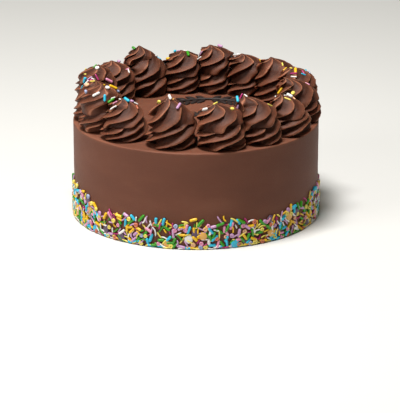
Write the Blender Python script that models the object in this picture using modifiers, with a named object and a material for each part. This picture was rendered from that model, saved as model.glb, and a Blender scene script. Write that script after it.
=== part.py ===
"""Layer cake: a tall round cake iced all over, with a ring of piped swirls on its top edge,
a piped garland in the middle of the top and sugar sprinkles pressed round its foot.

Metres, +Z up. The origin is the middle of the flat bottom and the front looks to -Y.
"""

import math
import random
from collections import namedtuple

import bmesh
import bpy
import numpy as np
from mathutils import Matrix, Vector
from mathutils.bvhtree import BVHTree

# Driving dimensions of the iced body
CAKE_RADIUS = 0.106
CAKE_HEIGHT = 0.083
TOP_EDGE_ROUND = 0.0010
FOOT_EDGE_ROUND = 0.0006
CAKE_SEGMENTS = 72
TOUCH_GAP = 0.0003

# Piped swirls, from the front round by the right: bearing of the centre in degrees, distance from
# the cake's axis, half width, height, how far the upper half leans to the right and to the back, how
# far the tip alone is pulled to the right, how full the upper turn is, and where the piping starts
Swirl = namedtuple("Swirl", "bearing ring half_width height lean_right lean_back tip_right fullness start")
SWIRLS = (
    Swirl(-15, 0.080, 0.0210, 0.0400, -0.002, 0.002, -0.002, 0.88, -70),
    Swirl(15, 0.084, 0.0210, 0.0360, -0.002, 0.001, -0.004, 0.97, -120),
    Swirl(38, 0.086, 0.0195, 0.0385, -0.007, 0.002, -0.007, 1.00, -60),
    Swirl(61, 0.090, 0.0195, 0.0330, -0.003, 0.000, -0.005, 0.90, -100),
    Swirl(85, 0.0892, 0.0185, 0.0385, 0.001, -0.003, -0.015, 0.98, -40),
    Swirl(107, 0.091, 0.0192, 0.0372, 0.003, 0.002, -0.006, 0.98, -150),
    Swirl(128, 0.0895, 0.0200, 0.0380, 0.002, 0.001, -0.007, 0.98, -90),
    Swirl(149, 0.088, 0.0202, 0.0364, 0.003, -0.002, -0.008, 1.00, -50),
    Swirl(168, 0.088, 0.0208, 0.0414, 0.002, -0.001, -0.008, 1.04, -110),
    Swirl(188, 0.088, 0.0202, 0.0364, 0.0035, -0.002, -0.0045, 1.00, -80),
    Swirl(211, 0.0885, 0.0210, 0.0430, -0.005, 0.000, 0.000, 0.90, -30),
    Swirl(235, 0.0895, 0.0200, 0.0355, 0.002, 0.002, -0.003, 1.00, -130),
    Swirl(255, 0.0895, 0.0190, 0.0405, -0.001, -0.001, 0.003, 1.00, -60),
    Swirl(273, 0.0880, 0.0178, 0.0345, 0.001, 0.001, 0.000, 0.92, -90),
    Swirl(293, 0.0865, 0.0196, 0.0395, 0.001, -0.002, -0.001, 0.98, -140),
    Swirl(314, 0.083, 0.0205, 0.0330, 0.000, 0.001, -0.002, 0.88, -75),
)
# The rope has six lobes. They wind up the swirl by the twist, faster low down, and by the sweep across
# each turn of the rope
LOBES = 6
TWIST = math.radians(252)
EARLY_TWIST = 0.10
SWEEP = math.radians(70)
# One turn of the rope lies on the last: the share of the height that a turn climbs, how deep the crease
# between two turns is, how far the upper one sags over it, and how far its lobes stand beside the lower ones
ROPE_TURNS = 3
ROPE_CLIMB = 0.46
CREASE_DEPTH = 0.0030
CREASE_SAG = 0.0010
JOG = math.radians(26)
# Groove depth as a share of the half width, and how far the ridges hang as a share of the height
GROOVE_DEPTH = 0.24
RIDGE_DROOP = 0.012
LEAN_STARTS = 2.0
TIP_STARTS = 5.0
# Share of the height, then share of the half width of a full round swirl and of a slender pointed one
OUTLINE = (
    (0.00, 0.88, 0.88),
    (0.03, 0.95, 0.95),
    (0.09, 0.99, 0.99),
    (0.18, 1.00, 1.00),
    (0.30, 0.99, 0.97),
    (0.42, 0.98, 0.91),
    (0.54, 0.97, 0.82),
    (0.65, 0.94, 0.71),
    (0.75, 0.86, 0.57),
    (0.83, 0.74, 0.42),
    (0.89, 0.57, 0.28),
    (0.925, 0.38, 0.17),
    (0.945, 0.22, 0.12),
    (0.97, 0.12, 0.08),
    (1.0, 0.02, 0.02),
)
SLENDER = 0.78
FULL = 1.00
# The corners of a lobe, as shares of the way to the next one with their share of the groove's depth:
# the ridge and the bottom of the groove
LOBE_CORNERS = ((0.0, 0.0), (0.36, 1.0))
# The rows of points across one turn of the rope, from crease to crease
TURN_ROWS = (0.0, 0.15, 0.33, 0.51, 0.69, 0.87)
# Above this share of the height everything runs together in the tip
TIP_SHARE = 0.91
# A swirl gives way softly over the last part of the room that it shares with its neighbours
SQUASH_START = 0.72

# Sprinkles: rods, flat round sequins and small pressed buttons
ROD_LENGTH = 0.0100
ROD_THICKNESS = 0.0027
SEQUIN_DIAMETER = 0.0072
SEQUIN_THICKNESS = 0.0016
BUTTON_DIAMETER = 0.0044
# How far the middle of each stands out of the icing of the side, and how deep one that fell is sunk
STAND_OUT = {"rod": 0.0007, "sequin": 0.0004, "button": 0.0006}
LOOSE_SUNK = 0.0004
# Rows of the band: height of the middle, sprinkles round the cake and the row's scatter in height
BAND_ROWS = (
    (0.0035, 46, 0.0010),
    (0.0095, 43, 0.0022),
    (0.0160, 32, 0.0030),
    (0.0230, 20, 0.0036),
)
BAND_SEED = 33
# How far from above the sprinkles that fell on the swirls are seen when their places are read
LOOK_DOWN = math.radians(18.9)
# Sprinkles on the swirls: swirl, kind, bearing that it is seen from, how far right of the swirl's axis
# and how high it is seen from there, and its spin
LOOSE_SPRINKLES = (
    (1, "rod", 0, -0.0022, 0.0420, 35),
    (1, "button", 0, -0.0100, 0.0365, 0),
    (1, "rod", 0, 0.0055, 0.0318, 40),
    (2, "rod", 0, -0.0130, 0.0300, 55),
    (2, "button", 0, 0.0090, 0.0310, 0),
    (3, "rod", 0, -0.0180, 0.0352, -50),
    (3, "rod", 0, -0.0172, 0.0278, 85),
    (4, "rod", 0, 0.0000, 0.0330, 30),
    (5, "rod", 0, -0.0185, 0.0280, -85),
    (5, "button", 0, -0.0060, 0.0226, 0),
    (6, "rod", 0, -0.0006, 0.0330, -70),
    (9, "rod", 0, 0.0030, 0.0410, 25),
    (10, "rod", 0, 0.0048, 0.0315, 60),
    (10, "rod", 0, -0.0066, 0.0355, 40),
    (11, "rod", 0, -0.0095, 0.0405, 10),
    (13, "button", 0, 0.0010, 0.0365, 0),
    (13, "rod", 0, -0.0090, 0.0258, 70),
    (13, "rod", 0, 0.0110, 0.0250, -35),
    (15, "button", 0, 0.0050, 0.0352, 0),
    (15, "rod", 0, 0.0094, 0.0355, 80),
    (15, "rod", 0, -0.0038, 0.0288, 50),
    (15, "rod", 0, 0.0033, 0.0260, -88),
    (15, "rod", 0, 0.0078, 0.0240, 20),
    (16, "rod", 0, 0.0016, 0.0315, 50),
    (8, "rod", 180, 0.0060, 0.0280, 35),
    (12, "rod", 180, -0.0050, 0.0300, -30),
    (14, "button", 270, 0.0040, 0.0290, 0),
)

# The ornament piped on the top: a bent stem with pairs of leaves, and a sprig of leaves before it.
# Angles on the stem are counted from +X
THREAD = 0.0024
GARLAND_CENTRE = Vector((0.011, 0.012, CAKE_HEIGHT))
GARLAND_RADIUS = 0.040
GARLAND_FROM = 36
GARLAND_TO = 144
STEM_STEPS = 10
STEM_SIDES = 5
LEAF_PAIRS = 5
LEAF_LEAN = 52
SPRIG_FOOT = Vector((0.004, 0.002, CAKE_HEIGHT))
SPRIG_LEAVES = (-84, -42, 0, 42, 84)
LEAF_LENGTH = 0.0135
LEAF_WIDTH = 0.0048
LEAF_SQUASH = 0.42
# Along a leaf: share of its length and share of its width
LEAF_OUTLINE = ((0.45, 1.0),)
LEAF_SIDES = 5


def empty_the_scene():
    """Starts from nothing, whatever the file held."""
    for thing in list(bpy.data.objects):
        bpy.data.objects.remove(thing, do_unlink=True)


def material(name, colour, roughness):
    """A plain food finish."""
    made = bpy.data.materials.new(name)
    made.use_nodes = True
    shader = made.node_tree.nodes["Principled BSDF"]
    shader.inputs["Base Color"].default_value = (*colour, 1.0)
    shader.inputs["Roughness"].default_value = roughness
    shader.inputs["Metallic"].default_value = 0.0
    return made


def collection(name):
    """A collection in the scene."""
    made = bpy.data.collections.new(name)
    bpy.context.scene.collection.children.link(made)
    return made


def add_object(name, bm, group):
    """Turns a bmesh into a named object of that collection."""
    bmesh.ops.recalc_face_normals(bm, faces=bm.faces)
    mesh = bpy.data.meshes.new(name)
    bm.to_mesh(mesh)
    bm.free()
    made = bpy.data.objects.new(name, mesh)
    group.objects.link(made)
    return made


def apply_modifiers(target):
    """Keeps the evaluated mesh in place of the modifiers."""
    graph = bpy.context.evaluated_depsgraph_get()
    baked = bpy.data.meshes.new_from_object(target.evaluated_get(graph))
    target.modifiers.clear()
    target.data = baked


def drop_loose_scraps(target):
    """Keeps the largest body of a fused piece and drops any sprinkle that touches nothing."""
    bm = bmesh.new()
    bm.from_mesh(target.data)
    waiting = set(bm.verts)
    bodies = []
    while waiting:
        front = [waiting.pop()]
        found = set(front)
        while front:
            corner = front.pop()
            for edge in corner.link_edges:
                other = edge.other_vert(corner)
                if other not in found:
                    found.add(other)
                    front.append(other)
        waiting -= found
        bodies.append(found)
    largest = max(bodies, key=len)
    scraps = [corner for corner in bm.verts if corner not in largest]
    bmesh.ops.delete(bm, geom=scraps, context="VERTS")
    bm.to_mesh(target.data)
    bm.free()


def fuse(target, group):
    """Joins every object of the collection to the target, then removes them."""
    union = target.modifiers.new("fuse", "BOOLEAN")
    union.operation = "UNION"
    union.operand_type = "COLLECTION"
    union.collection = group
    union.solver = "MANIFOLD"
    apply_modifiers(target)
    drop_loose_scraps(target)
    for piece in list(group.objects):
        bpy.data.objects.remove(piece, do_unlink=True)
    bpy.data.collections.remove(group)


def iced_body(group, icing):
    """The body: a turned profile with a softly rounded top edge."""
    bm = bmesh.new()
    top = CAKE_HEIGHT
    profile = [Vector((0, 0, top)), Vector((CAKE_RADIUS - TOP_EDGE_ROUND, 0, top))]
    for step in (1, 2):
        turn = math.radians(45 * step)
        profile.append(
            Vector(
                (
                    CAKE_RADIUS - TOP_EDGE_ROUND * (1 - math.sin(turn)),
                    0,
                    top - TOP_EDGE_ROUND * (1 - math.cos(turn)),
                )
            )
        )
    profile.append(Vector((CAKE_RADIUS, 0, FOOT_EDGE_ROUND)))
    profile.append(Vector((CAKE_RADIUS - FOOT_EDGE_ROUND, 0, 0)))
    profile.append(Vector((0, 0, 0)))
    corners = [bm.verts.new(point) for point in profile]
    for first, second in zip(corners, corners[1:]):
        bm.edges.new((first, second))
    body = add_object("cake", bm, group)
    turned = body.modifiers.new("turned", "SCREW")
    turned.steps = CAKE_SEGMENTS
    turned.render_steps = CAKE_SEGMENTS
    turned.use_merge_vertices = True
    turned.merge_threshold = 0.00005
    body.data.materials.append(icing)
    apply_modifiers(body)
    return body


def side_frame(around, height, outward):
    """The place on the cake's side at that angle: X along the side, Y upwards, Z outwards."""
    normal = Vector((math.cos(around), math.sin(around), 0))
    along = Vector((-math.sin(around), math.cos(around), 0))
    up = Vector((0, 0, 1))
    place = normal * (CAKE_RADIUS + outward) + up * height
    return Matrix(
        (
            (along.x, up.x, normal.x, place.x),
            (along.y, up.y, normal.y, place.y),
            (along.z, up.z, normal.z, place.z),
            (0, 0, 0, 1),
        )
    )


def rod_shape(bm, place):
    """A sugar rod along X: a five-sided ball pulled out to the rod's length."""
    made = bmesh.ops.create_uvsphere(bm, u_segments=5, v_segments=3, radius=ROD_THICKNESS / 2)
    stretch = ROD_LENGTH / 2 - ROD_THICKNESS / 2
    for vertex in made["verts"]:
        vertex.co.x *= 1.12
        vertex.co.y *= 1.12
        vertex.co.z += math.copysign(stretch, vertex.co.z)
    lie_down = Matrix.Rotation(math.radians(90), 4, "Y")
    bmesh.ops.transform(bm, matrix=place @ lie_down, verts=made["verts"])


def sequin_shape(bm, place):
    """A flat sugar sequin with six sides."""
    made = bmesh.ops.create_cone(
        bm,
        cap_ends=True,
        segments=6,
        radius1=SEQUIN_DIAMETER / 2,
        radius2=SEQUIN_DIAMETER / 2,
        depth=SEQUIN_THICKNESS,
    )
    bmesh.ops.transform(bm, matrix=place, verts=made["verts"])


def button_shape(bm, place):
    """A small pressed sugar button, flatter than it is wide."""
    made = bmesh.ops.create_icosphere(bm, subdivisions=1, radius=BUTTON_DIAMETER / 2)
    flatten = Matrix.Diagonal((1, 1, 0.5, 1))
    bmesh.ops.transform(bm, matrix=place @ flatten, verts=made["verts"])


SPRINKLE_SHAPES = {"rod": rod_shape, "sequin": sequin_shape, "button": button_shape}


def sprinkle(name, kind, place, group):
    """One sprinkle, lifted clear of the surface that the cake stands on if it reaches that low."""
    bm = bmesh.new()
    SPRINKLE_SHAPES[kind](bm, place)
    lowest = min(vertex.co.z for vertex in bm.verts)
    if lowest < TOUCH_GAP:
        bmesh.ops.translate(bm, vec=(0, 0, TOUCH_GAP - lowest), verts=bm.verts)
    return add_object(name, bm, group)


def band_of_sprinkles(group):
    """Rows of sprinkles pressed into the icing round the foot, each turned its own way."""
    chance = random.Random(BAND_SEED)
    kinds = ("rod", "rod", "sequin", "rod", "button")
    count = 0
    for height, pieces, scatter in BAND_ROWS:
        step = math.tau / pieces
        start = chance.uniform(0, step)
        for number in range(pieces):
            around = start + step * (number + chance.uniform(-0.28, 0.28))
            kind = kinds[count % len(kinds)]
            spin = math.radians(chance.uniform(-80, 80))
            tip = math.radians(chance.uniform(-14, 14))
            place = side_frame(around, height + chance.uniform(-scatter, scatter), STAND_OUT[kind])
            place = place @ Matrix.Rotation(spin, 4, "Z") @ Matrix.Rotation(tip, 4, "Y")
            sprinkle(f"band_sprinkle_{count}", kind, place, group)
            count += 1


def spindle(name, rings, ends, group):
    """A closed body of rings of points between two end points."""
    bm = bmesh.new()
    corners = [[bm.verts.new(point) for point in ring] for ring in rings]
    first, last = (bm.verts.new(point) for point in ends)
    for lower, upper in zip(corners, corners[1:]):
        for side in range(len(lower)):
            after = (side + 1) % len(lower)
            bm.faces.new((lower[side], lower[after], upper[after], upper[side]))
    for side in range(len(corners[0])):
        after = (side + 1) % len(corners[0])
        bm.faces.new((first, corners[0][after], corners[0][side]))
        bm.faces.new((last, corners[-1][side], corners[-1][after]))
    return add_object(name, bm, group)


def ring_of_points(middle, across, over, sides):
    """Points round a middle, spanned by two half widths."""
    return [
        middle + across * math.cos(math.tau * side / sides) + over * math.sin(math.tau * side / sides)
        for side in range(sides)
    ]


def stem_way(angle):
    """The direction from the garland's centre to a point of its stem."""
    return Vector((math.cos(math.radians(angle)), math.sin(math.radians(angle)), 0))


def stem(group):
    """The garland's bent stem."""
    lift = Vector((0, 0, THREAD * 0.3))
    over = Vector((0, 0, THREAD / 2 * 0.85))
    rings = []
    for step in range(STEM_STEPS + 1):
        way = stem_way(GARLAND_FROM + (GARLAND_TO - GARLAND_FROM) * step / STEM_STEPS)
        middle = GARLAND_CENTRE + way * GARLAND_RADIUS + lift
        rings.append(ring_of_points(middle, way * THREAD / 2, over, STEM_SIDES))
    ends = [GARLAND_CENTRE + stem_way(angle) * GARLAND_RADIUS + lift for angle in (GARLAND_FROM, GARLAND_TO)]
    return spindle("garland_stem", rings, ends, group)


def leaf(foot, bearing, name, group):
    """One piped leaf: thin at its foot, drawn out to a tip. Its bearing is clockwise from +Y."""
    lean = math.radians(bearing)
    along = Vector((math.sin(lean), math.cos(lean), 0))
    across = Vector((math.cos(lean), -math.sin(lean), 0))
    start = foot + Vector((0, 0, THREAD * 0.22)) + along * LEAF_LENGTH * 0.10
    rings = []
    for share, width in LEAF_OUTLINE:
        half = LEAF_WIDTH / 2 * width
        over = Vector((0, 0, half * LEAF_SQUASH))
        rings.append(ring_of_points(start + along * LEAF_LENGTH * share, across * half, over, LEAF_SIDES))
    spindle(name, rings, (start, start + along * LEAF_LENGTH), group)


def piped_ornament(group):
    """A plain garland of leaves on the middle of the top."""
    stem(group)
    middle = (GARLAND_FROM + GARLAND_TO) / 2
    for side in (-1, 1):
        for pair in range(LEAF_PAIRS):
            share = (pair + 0.3) / LEAF_PAIRS
            angle = middle + side * share * (GARLAND_TO - GARLAND_FROM) / 2
            foot = GARLAND_CENTRE + stem_way(angle) * GARLAND_RADIUS
            forward = 90 - angle - side * 90
            for turn in (-1, 1):
                leaf(foot, forward + turn * LEAF_LEAN, f"leaf_{side}_{pair}_{turn}", group)
    for bearing in SPRIG_LEAVES:
        leaf(SPRIG_FOOT, bearing, f"sprig_leaf_{bearing}", group)


def swirl_centre(number):
    """Where a swirl stands on the top."""
    swirl = SWIRLS[number % len(SWIRLS)]
    bearing = math.radians(swirl.bearing)
    return np.array((math.sin(bearing), -math.cos(bearing), 0)) * swirl.ring


def squashed(points, number):
    """Moves points back into the room that a swirl shares with its neighbours."""
    centre = swirl_centre(number)
    for side in (-1, 1):
        way = swirl_centre(number + side) - centre
        length = np.linalg.norm(way)
        way = way / length
        room = length / 2 - TOUCH_GAP / 2
        reach = (points - centre) @ way
        free = SQUASH_START * room
        left = room - free
        held = np.where(reach > free, free + left * np.tanh((reach - free) / left), reach)
        points = points + np.outer(held - reach, way)
    return points


def eased(value):
    """A smooth step from 0 to 1."""
    value = np.clip(value, 0, 1)
    return value * value * (3 - 2 * value)


def swirl_skin(number):
    """The corners of a swirl's skin, row by row, before it is squashed.

    Each row has the same columns, one for each corner of each lobe. The rope climbs as it winds, so
    its turns end higher from column to column, and the last column goes on as the first one of the
    turn above.
    """
    swirl = SWIRLS[number]
    chance = np.random.default_rng(100 + number)
    pieces = LOBES * (ROPE_TURNS + 2)
    crest_height = chance.uniform(0.78, 1.18, pieces)
    crest_shift = chance.uniform(-0.07, 0.07, pieces)
    crest_sway = chance.uniform(-0.11, 0.11, pieces)
    climb = ROPE_CLIMB * chance.uniform(0.90, 1.12)
    along_ridge = climb / (1 - climb * TWIST / math.tau)
    roundness = min(1.0, max(0.0, (swirl.fullness - SLENDER) / (FULL - SLENDER)))
    outline = np.array(OUTLINE)
    lobe = np.repeat(np.arange(LOBES), len(LOBE_CORNERS))
    share, groove = (np.tile(column, LOBES) for column in np.array(LOBE_CORNERS).T)
    rest = (lobe + share) / LOBES
    jogged = np.zeros(len(rest))
    rows = []
    for turn in range(ROPE_TURNS):
        foot = np.clip(along_ridge * (rest + turn - 1), 0, 1)
        head = np.clip(along_ridge * (rest + turn), 0, 1)
        if turn == ROPE_TURNS - 1:
            head = np.ones(len(rest))
        foot_hold = eased(foot / 0.12) * eased((1 - foot) / 0.25)
        head_hold = eased(head / 0.12) * eased((1 - head) / 0.25)
        piece = turn * LOBES + lobe
        strong = crest_height[piece] * (1 - share) + crest_height[piece + 1] * share
        moved = crest_shift[piece] * (1 - share) + crest_shift[piece + 1] * share
        swayed = crest_sway[piece] * (1 - share) + crest_sway[piece + 1] * share
        for part in TURN_ROWS:
            rise = foot + (head - foot) * part
            low_edge = np.exp(-((part / 0.09) ** 2)) * foot_hold
            high_edge = np.exp(-(((1 - part) / 0.12) ** 2)) * head_hold
            belly = np.exp(-(((part - 0.12) / 0.10) ** 2)) * foot_hold
            pinched = np.maximum(low_edge, high_edge)
            width = (1 - roundness) * np.interp(rise, outline[:, 0], outline[:, 2])
            width = width + roundness * np.interp(rise, outline[:, 0], outline[:, 1])
            deep = groove * strong * (1 - 0.55 * pinched)
            reach = swirl.half_width * width * (1 - GROOVE_DEPTH * deep)
            reach = reach - CREASE_DEPTH * pinched * np.sqrt(width)
            wander = 0.14 * np.sin(5 * rise + number) + 0.06 * np.sin(14 * rise + 2 * number)
            wound = TWIST * rise * (1 + EARLY_TWIST * (1 - rise))
            around = math.radians(swirl.start) + math.tau * rest + wound + jogged + wander
            arch = np.sin(math.pi * part) * eased((head - foot) / 0.2)
            around = around + math.tau / LOBES * (moved * arch**0.5 + swayed * arch * np.cos(math.pi * part))
            around = around + SWEEP * (eased(part) - part) * eased((head - foot) / 0.3)
            lean, bend = rise**LEAN_STARTS, rise**TIP_STARTS
            drop = -RIDGE_DROOP * swirl.height * (1 - 2 * deep) * np.sin(math.pi * rise) - CREASE_SAG * belly
            row = np.column_stack(
                (
                    reach * np.cos(around) + swirl.lean_right * lean + swirl.tip_right * bend,
                    reach * np.sin(around) + swirl.lean_back * lean,
                    np.clip(swirl.height * rise + drop, 0.3 * swirl.height * rise, swirl.height),
                )
            )
            row[rise > TIP_SHARE] = tip_of(swirl)
            rows.append(row)
        jogged = jogged + JOG * eased(rest + turn)
    return rows


def tip_of(swirl):
    """The point where a swirl was pulled off."""
    return (swirl.lean_right + swirl.tip_right, swirl.lean_back, swirl.height)


def coil_faces(row_count, columns):
    """The faces of a coil: after the last column each row goes on as the row one turn higher.

    Each four corners are split along the way that the ridges lean.
    """
    turn = len(TURN_ROWS)
    faces = []
    for row in range(row_count - 1):
        for column in range(columns - 1):
            low, high = row * columns + column, (row + 1) * columns + column
            faces.append((low, low + 1, high))
            faces.append((low + 1, high + 1, high))
    for row in range(row_count - 1 - turn):
        low = row * columns + columns - 1
        after = (row + turn) * columns
        faces.append((low, after, low + columns))
        faces.append((after, after + columns, low + columns))
    return faces


def swirl_solid(number, group, icing):
    """One piped swirl: a star-shaped rope wound up round itself and pulled off into a tip."""
    rows = swirl_skin(number)
    columns = len(rows[0])
    foot = np.array((0, 0, CAKE_HEIGHT + TOUCH_GAP))
    corners = np.vstack((*rows, tip_of(SWIRLS[number]), (0, 0, 0)))
    corners = squashed(corners + swirl_centre(number), number) + foot
    faces = coil_faces(len(rows), columns)
    tip, base = len(corners) - 2, len(corners) - 1
    top_row = (len(rows) - 1) * columns
    for column in range(columns - 1):
        faces.append((top_row + column, top_row + column + 1, tip))
        faces.append((base, column + 1, column))
    faces.append((base, 0, columns - 1))
    for row in range(len(rows) - 1 - len(TURN_ROWS), len(rows) - 1):
        low = row * columns + columns - 1
        faces.append((low, tip, low + columns))
    seam_end = (len(rows) - len(TURN_ROWS)) * columns - 1
    faces.append((seam_end, top_row, tip))
    bm = bmesh.new()
    made = [bm.verts.new(corner) for corner in corners]
    for face in faces:
        bm.faces.new([made[corner] for corner in face])
    bmesh.ops.remove_doubles(bm, verts=bm.verts, dist=0.00003)
    bmesh.ops.triangulate(bm, faces=bm.faces)
    solid = add_object(f"swirl_{number + 1:02d}", bm, group)
    solid.data.materials.append(icing)
    return solid


def loose_place(swirl, tree, number, seen_from, right, high, spin):
    """Where a sprinkle lies on a swirl, as it is seen from that bearing; its Z looks out of the icing.

    A place outside the swirl's outline is brought inwards and down until it is on it.
    """
    bearing = math.radians(seen_from)
    towards = Vector((-math.sin(bearing), math.cos(bearing), 0))
    to_the_right = Vector((math.cos(bearing), math.sin(bearing), 0))
    look = towards * math.cos(LOOK_DOWN) - Vector((0, 0, math.sin(LOOK_DOWN)))
    foot = Vector(swirl_centre(number)) + Vector((0, 0, CAKE_HEIGHT))
    for share in np.linspace(1.0, 0.2, 60):
        start = foot + (to_the_right * right + Vector((0, 0, high))) * share - look * swirl.height * 2
        hit, normal, _, _ = tree.ray_cast(start, look)
        if hit is not None:
            break
    along = Vector((0, 0, 1)).cross(normal).normalized()
    turned = Matrix((along, normal.cross(along), normal)).transposed().to_4x4()
    spun = Matrix.Rotation(math.radians(spin), 4, "Z")
    return Matrix.Translation(hit - normal * LOOSE_SUNK) @ turned @ spun


def shade(target):
    """Round parts shaded smooth, with the clear edges kept."""
    for polygon in target.data.polygons:
        polygon.use_smooth = True
    target.data.set_sharp_from_angle(angle=math.radians(40))


def build():
    """Makes the whole cake."""
    empty_the_scene()
    parts = collection("layer_cake")
    icing = material("chocolate_icing", (0.235, 0.105, 0.070), 0.55)

    body = iced_body(parts, icing)
    toppings = collection("toppings")
    band_of_sprinkles(toppings)
    piped_ornament(toppings)
    fuse(body, toppings)

    for number, swirl in enumerate(SWIRLS):
        solid = swirl_solid(number, parts, icing)
        lying = [row for row in LOOSE_SPRINKLES if row[0] == number + 1]
        if lying:
            tree = BVHTree.FromPolygons(
                [vertex.co for vertex in solid.data.vertices],
                [polygon.vertices for polygon in solid.data.polygons],
            )
            fallen = collection(f"fallen_{number + 1}")
            for count, (_, kind, seen_from, right, high, spin) in enumerate(lying):
                place = loose_place(swirl, tree, number, seen_from, right, high, spin)
                sprinkle(f"fallen_{number + 1}_{count}", kind, place, fallen)
            fuse(solid, fallen)
    for solid in parts.objects:
        shade(solid)


build()
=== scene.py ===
"""A tall chocolate layer cake with piped swirls and sugar sprinkles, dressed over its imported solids."""
import math
import random
import bmesh
import bpy
import numpy as np
from mathutils import Matrix, Vector
from mathutils.bvhtree import BVHTree


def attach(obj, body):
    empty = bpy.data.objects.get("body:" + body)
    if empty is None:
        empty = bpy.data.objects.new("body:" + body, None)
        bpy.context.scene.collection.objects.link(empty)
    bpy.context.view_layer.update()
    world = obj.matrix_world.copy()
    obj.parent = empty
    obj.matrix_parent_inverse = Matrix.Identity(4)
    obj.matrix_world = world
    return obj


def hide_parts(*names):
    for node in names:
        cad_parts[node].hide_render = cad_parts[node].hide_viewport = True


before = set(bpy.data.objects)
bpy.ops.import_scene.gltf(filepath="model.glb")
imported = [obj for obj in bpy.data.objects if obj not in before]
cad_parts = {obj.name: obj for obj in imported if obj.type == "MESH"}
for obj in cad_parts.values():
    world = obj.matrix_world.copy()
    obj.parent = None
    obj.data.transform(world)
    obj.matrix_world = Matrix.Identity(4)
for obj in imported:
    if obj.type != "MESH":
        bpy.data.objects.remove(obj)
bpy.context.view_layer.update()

# The iced body
# A tall sponge cake under a coat of chocolate butter icing, drawn smooth with a straight scraper
# while the cake turns. The scraper leaves a crisp, slightly lifted top edge and faint marks.
CAKE_RADIUS = 0.106
CAKE_HEIGHT = 0.083
EDGE_ROUND = 0.0010
BODY_COLUMNS = 420
SIDE_ROWS = 40
TOP_ROWS = (0.04, 0.2, 0.4, 0.6, 0.75, 0.86, 0.93)
# Just inside the edge the top dips and rises again: distance from the side, then height above the top
TOP_DIP = ((0.0042, -0.0001), (0.0030, 0.0001))
FOOT_DRAWN_IN = 0.0006
# Marks left by the scraper: how they are drawn out along each axis, seed, waves, size and depth
SCRAPER_MARKS = (((1, 1, 0.25), 5, 14, 0.060, 0.00010), ((0.3, 0.3, 2.2), 6, 10, 0.030, 0.00003))
EDGE_MARKS = (((1, 1, 1), 7, 12, 0.030, 0.00012), ((1, 1, 1), 8, 12, 0.009, 0.00012))
SCRAPED_BACK = 0.0002
EDGE_LOWERED = 0.0001
MARKS_FADE = 0.004
# How far the lifted edge reaches up and down, how far inwards, and over which width it sets in
EDGE_TALL, EDGE_WIDE, EDGE_SOFT = 0.0022, 0.0045, 0.003
NEAR_FOOT = 0.0005
# Icing colours. The pale and deep ends serve both the random patches and the painted highlights and painted
# shade
ICING_BROWN = (0.130, 0.045, 0.0245)
ICING_PALE_AND_HIGHLIGHT = (0.290, 0.122, 0.073)
ICING_DEEP_AND_SHADE = (0.050, 0.014, 0.0065)
PATCH_SCALE = 28
PATCH_RANGE = (0.30, 0.72)
GRAIN_STRENGTH = 0.5
SATIN = (0.50, 0.70)
SHEEN = 0.24
# Light sinks a little into butter icing, red furthest
GLOW_SHARE = 0.30
GLOW_REACH = (1.0, 0.45, 0.30)
GLOW_DEPTH = 0.004


def new_piece(name, points, faces):
    """A mesh object from points and faces, shaded smooth."""
    mesh = bpy.data.meshes.new(name)
    mesh.from_pydata([tuple(point) for point in points], [], faces)
    mesh.validate()
    mesh.polygons.foreach_set("use_smooth", [True] * len(mesh.polygons))
    piece = bpy.data.objects.new(name, mesh)
    bpy.context.scene.collection.objects.link(piece)
    return piece


def lattice_faces(rows, columns):
    """Quads between the rows of a closed lattice, counted row by row."""
    faces = []
    for row in range(rows - 1):
        for column in range(columns):
            after = (column + 1) % columns
            low, high = row * columns, (row + 1) * columns
            faces.append((low + column, low + after, high + after, high + column))
    return faces


def capped_faces(rows, columns):
    """The faces of a lattice closed at both ends by a point, the last two of its points."""
    faces = lattice_faces(rows, columns)
    last, first_tip = (rows - 1) * columns, rows * columns
    for column in range(columns):
        after = (column + 1) % columns
        faces.append((first_tip, after, column))
        faces.append((first_tip + 1, last + column, last + after))
    return faces


def waves(places, seed, count, size):
    """Soft bumps between -1 and 1 at those places, as a sum of waves that cross each other."""
    chance = np.random.default_rng(seed)
    total = np.zeros(len(places))
    for _ in range(count):
        way = chance.normal(size=3)
        way *= math.tau / (size * chance.uniform(0.7, 1.4) * np.linalg.norm(way))
        total += np.sin(places @ way + chance.uniform(0, math.tau))
    return total / math.sqrt(count)


def marks(points, kinds):
    """How far the marks of those kinds stand out at each point."""
    return sum(waves(points * drawn_out, *look) * depth for drawn_out, *look, depth in kinds)


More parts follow.
